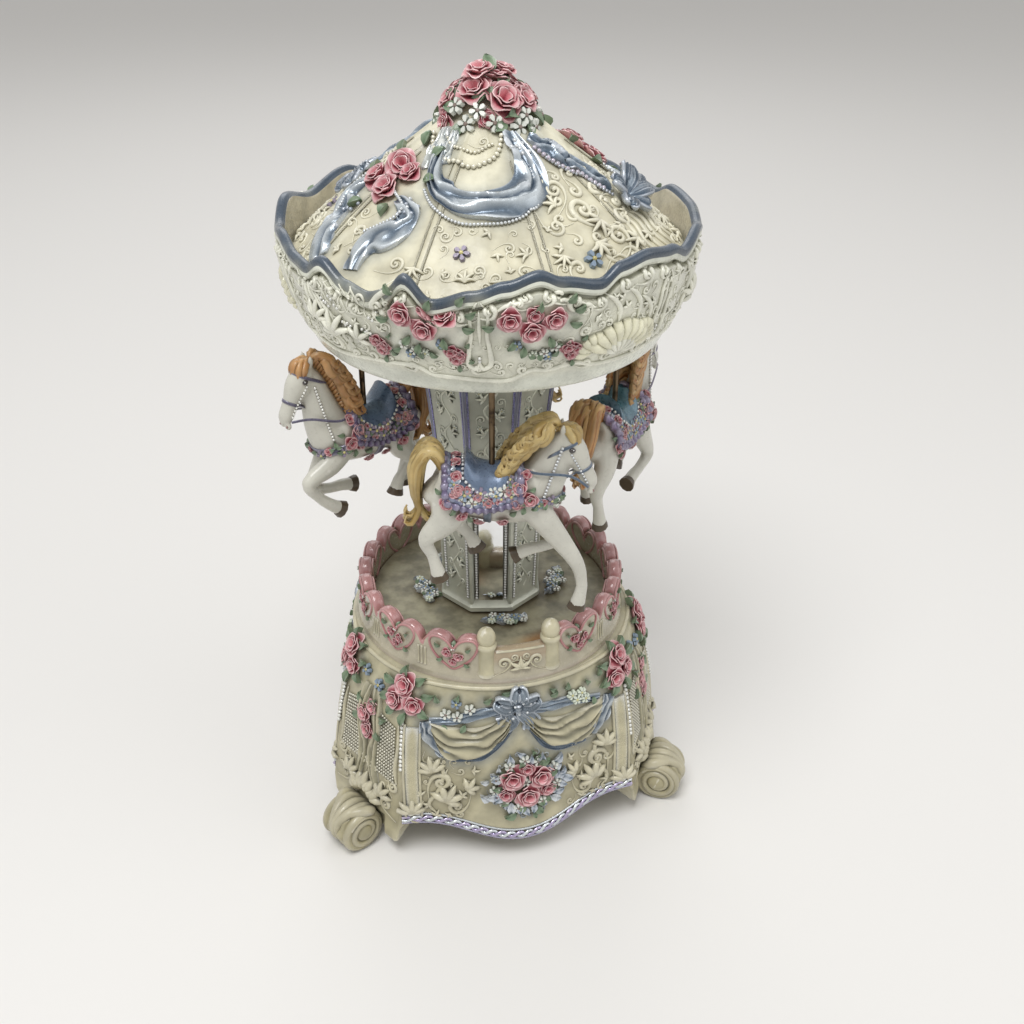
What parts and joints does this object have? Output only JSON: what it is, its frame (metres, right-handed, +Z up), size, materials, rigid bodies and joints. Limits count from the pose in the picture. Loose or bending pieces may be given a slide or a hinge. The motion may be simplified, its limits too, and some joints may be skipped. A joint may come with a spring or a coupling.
{
  "type": "wind-up carousel music box",
  "caption": "Wind-up carousel music box with horses hung on poles under a scalloped canopy, turning on a three-sided rose-trimmed base.",
  "frame": {"origin": "the spindle's axis where it meets the table that the feet stand on", "axes": "+Z up along the spindle's axis, -Y to the base's gate side, +X to the right of it"},
  "size_m": [0.1345, 0.1379, 0.259],
  "materials": {
    "cream_resin": "hand-painted cast resin with a soft gloss",
    "pink_resin": "hand-painted cast resin, pink washed",
    "canopy_resin": "pearly green-white painted cast resin",
    "column_resin": "silver-grey washed cast resin",
    "rose_paint": "pink and red painted resin",
    "horse_resin": "white painted cast resin",
    "plate": "matt black",
    "nylon": "natural nylon",
    "brass": "turned brass",
    "pole_brass": "tarnished brass",
    "steel": "bright steel",
    "zinc": "die-cast zinc alloy",
    "spring_steel": "blued steel",
    "mirror": "silvered mirror strip"
  },
  "bodies": {
    "base": {"base_casting": "cream_resin", "parapet": "pink_resin", "gate_posts": "cream_resin", "scroll_feet": "cream_resin", "bottom_plate": "plate", "bottom_plate_screws": "steel", "floor_bush": "brass", "thrust_washer": "nylon", "bedplate": "zinc", "bedplate_screws": "steel", "cylinder_bearings": "brass", "governor_frame": "brass", "comb": "steel", "comb_screws": "steel"},
    "carousel": {"spring_barrel": "brass", "mainspring": "spring_steel", "crown_gear": "brass", "drive_spindle": "steel", "column_hub": "brass", "centre_column": "column_resin", "mirror_strips": "mirror", "canopy_ceiling": "canopy_resin", "ceiling_screws": "steel", "spindle_nut": "brass", "pole_bushes": "brass", "canopy_crown": "canopy_resin", "roof": "cream_resin", "rose_bouquet": "rose_paint"},
    "key": {"winding_arbor": "steel", "winding_key": "brass"},
    "cylinder": {"cylinder_arbor": "steel", "cylinder_pinion": "brass", "pinned_cylinder": "brass", "cylinder_gear": "brass"},
    "governor": {"governor_wheel": "brass"},
    "fly": {"governor_worm": "steel", "governor_fly": "nylon"},
    "horse_1": {"horse_1": "horse_resin", "pole_1": "pole_brass", "pole_collar_1": "brass"},
    "horse_2": {"horse_2": "horse_resin", "pole_2": "pole_brass", "pole_collar_2": "brass"},
    "horse_3": {"horse_3": "horse_resin", "pole_3": "pole_brass", "pole_collar_3": "brass"},
    "horse_4": {"horse_4": "horse_resin", "pole_4": "pole_brass", "pole_collar_4": "brass"}
  },
  "joints": [
    {"name": "carousel_spin", "type": "hinge", "parent": "base", "child": "carousel", "pos_m": [0, 0, 0], "axis": [0, 0, 1], "continuous": true},
    {"name": "key_wind", "type": "hinge", "parent": "base", "child": "key", "pos_m": [0, 0, 0], "axis": [0, 0, 1], "range_deg": [0, 1800]},
    {"name": "cylinder_spin", "type": "hinge", "parent": "base", "child": "cylinder", "pos_m": [0, 0, 0.04165], "axis": [1, 0, 0], "continuous": true},
    {"name": "governor_spin", "type": "hinge", "parent": "base", "child": "governor", "pos_m": [0, 0.00912, 0.04165], "axis": [1, 0, 0], "continuous": true},
    {"name": "fly_spin", "type": "hinge", "parent": "base", "child": "fly", "pos_m": [0.02525, 0.01277, 0], "axis": [0, 0, 1], "continuous": true},
    {"name": "horse_1_swivel", "type": "hinge", "parent": "carousel", "child": "horse_1", "pos_m": [-0.00806, -0.04, 0.15], "axis": [0, 0, 1], "range_deg": [-55, 10]},
    {"name": "horse_2_swivel", "type": "hinge", "parent": "carousel", "child": "horse_2", "pos_m": [0.04, -0.00806, 0.15], "axis": [0, 0, 1], "range_deg": [-23, 42]},
    {"name": "horse_3_swivel", "type": "hinge", "parent": "carousel", "child": "horse_3", "pos_m": [0.00806, 0.04, 0.15], "axis": [0, 0, 1], "range_deg": [-55, 10]},
    {"name": "horse_4_swivel", "type": "hinge", "parent": "carousel", "child": "horse_4", "pos_m": [-0.04, 0.00806, 0.15], "axis": [0, 0, 1], "range_deg": [-3, 62]}
  ],
  "couplings": [
    {"joint": "cylinder_spin", "follows": "carousel_spin", "ratio": 4},
    {"joint": "governor_spin", "follows": "carousel_spin", "ratio": -16},
    {"joint": "fly_spin", "follows": "carousel_spin", "ratio": 192}
  ]
}
